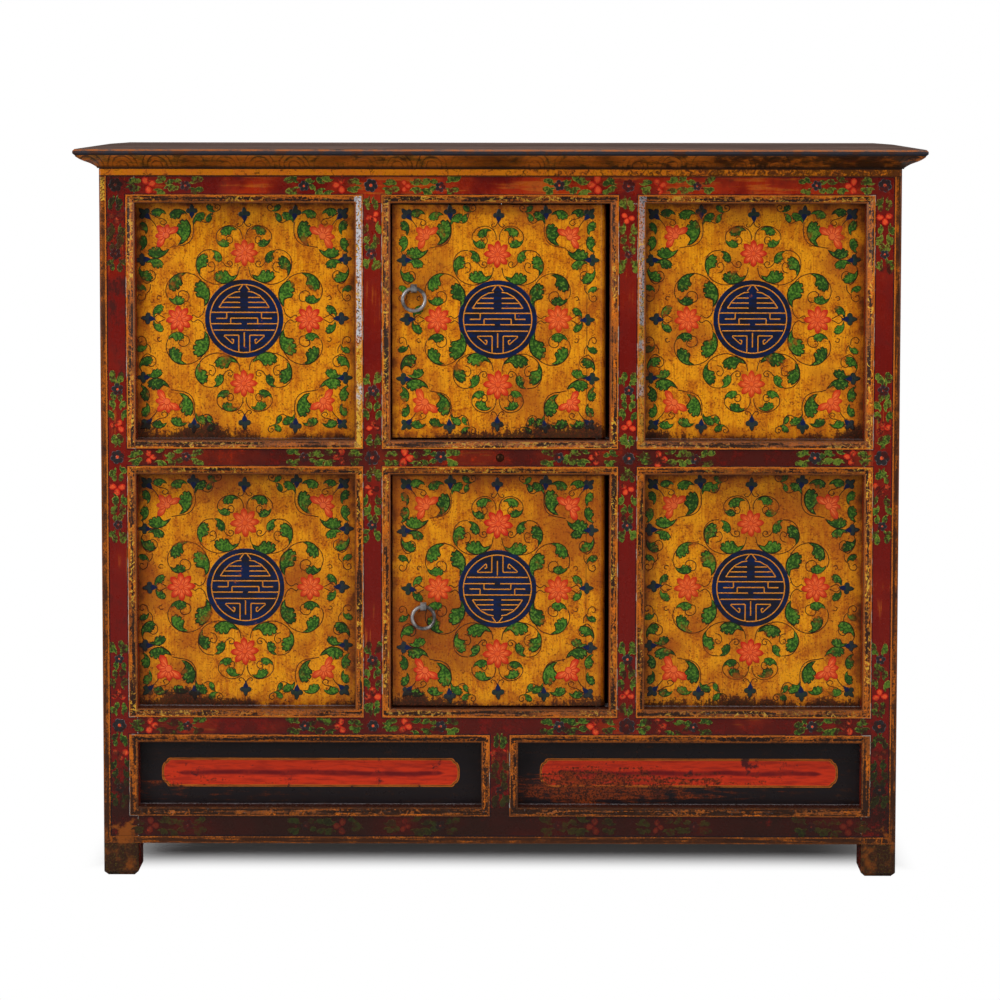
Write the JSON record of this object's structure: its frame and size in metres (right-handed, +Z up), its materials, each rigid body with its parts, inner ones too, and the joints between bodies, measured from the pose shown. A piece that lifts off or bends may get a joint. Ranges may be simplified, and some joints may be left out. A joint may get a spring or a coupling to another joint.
{
  "type": "altar cabinet",
  "caption": "Painted wooden altar cabinet with framed panels, a coved top, stub feet and a stack of ring-pull doors on pintles in the middle bay.",
  "frame": {"origin": "on the floor, under the middle of the overall box", "axes": "+X to the right seen from the front, +Y to the back, +Z up"},
  "size_m": [1.092, 0.396, 0.949],
  "materials": {
    "red_frame": "worn satin paint",
    "red_side": "worn satin paint",
    "painted_panel": "varnished paint",
    "black_panel": "varnished paint",
    "cornice_paint": "worn satin paint",
    "dark_top": "waxed",
    "plain_wood": "bare",
    "iron": "forged"
  },
  "bodies": {
    "cabinet": {"front_left_post": "red_frame", "front_right_post": "red_frame", "rear_left_post": "plain_wood", "rear_right_post": "plain_wood", "front_bottom_rail": "red_frame", "front_lower_rail": "red_frame", "front_middle_rail": "red_frame", "front_top_rail": "red_frame", "upper_left_muntin": "red_frame", "upper_right_muntin": "red_frame", "lower_left_muntin": "red_frame", "lower_right_muntin": "red_frame", "base_muntin": "red_frame", "upper_left_panel": "painted_panel", "lower_left_panel": "painted_panel", "left_base_panel": "black_panel", "upper_right_panel": "painted_panel", "lower_right_panel": "painted_panel", "right_base_panel": "black_panel", "left_side_bottom_rail": "red_side", "left_side_middle_rail": "red_side", "left_side_top_rail": "red_side", "left_side_lower_panel": "red_side", "left_side_upper_panel": "red_side", "right_side_bottom_rail": "red_side", "right_side_middle_rail": "red_side", "right_side_top_rail": "red_side", "right_side_lower_panel": "red_side", "right_side_upper_panel": "red_side", "rear_bottom_rail": "plain_wood", "rear_middle_rail": "plain_wood", "rear_top_rail": "plain_wood", "back_boards": "plain_wood", "back_nails": "iron", "front_cornice": "cornice_paint", "left_cornice": "cornice_paint", "right_cornice": "cornice_paint", "top_front_board": "dark_top", "top_middle_board": "dark_top", "top_rear_board": "dark_top", "top_pegs": "dark_top", "top_bearers": "plain_wood", "shelf_bearers": "plain_wood", "shelf_boards": "plain_wood", "floor_bearers": "plain_wood", "floor_boards": "plain_wood", "upper_door_stop": "plain_wood", "lower_door_stop": "plain_wood", "middle_rail_stud": "iron"},
    "upper_door": {"upper_door_board": "painted_panel", "upper_door_hinge_stile": "painted_panel", "upper_door_battens": "plain_wood", "upper_pull_staple": "iron"},
    "upper_ring": {"upper_pull_ring": "iron"},
    "lower_door": {"lower_door_board": "painted_panel", "lower_door_hinge_stile": "painted_panel", "lower_door_battens": "plain_wood", "lower_pull_staple": "iron"},
    "lower_ring": {"lower_pull_ring": "iron"}
  },
  "joints": [
    {"name": "upper_door_hinge", "type": "hinge", "parent": "cabinet", "child": "upper_door", "pos_m": [0.128, -0.143, 0.724], "axis": [0, 0, 1], "range_deg": [0, 100]},
    {"name": "upper_ring_swing", "type": "hinge", "parent": "upper_door", "child": "upper_ring", "pos_m": [-0.1115, -0.158, 0.767], "axis": [-1, 0, 0], "range_deg": [0, 170]},
    {"name": "lower_door_hinge", "type": "hinge", "parent": "cabinet", "child": "lower_door", "pos_m": [0.128, -0.143, 0.373], "axis": [0, 0, 1], "range_deg": [0, 100]},
    {"name": "lower_ring_swing", "type": "hinge", "parent": "lower_door", "child": "lower_ring", "pos_m": [-0.0995, -0.158, 0.353], "axis": [-1, 0, 0], "range_deg": [0, 170]}
  ]
}
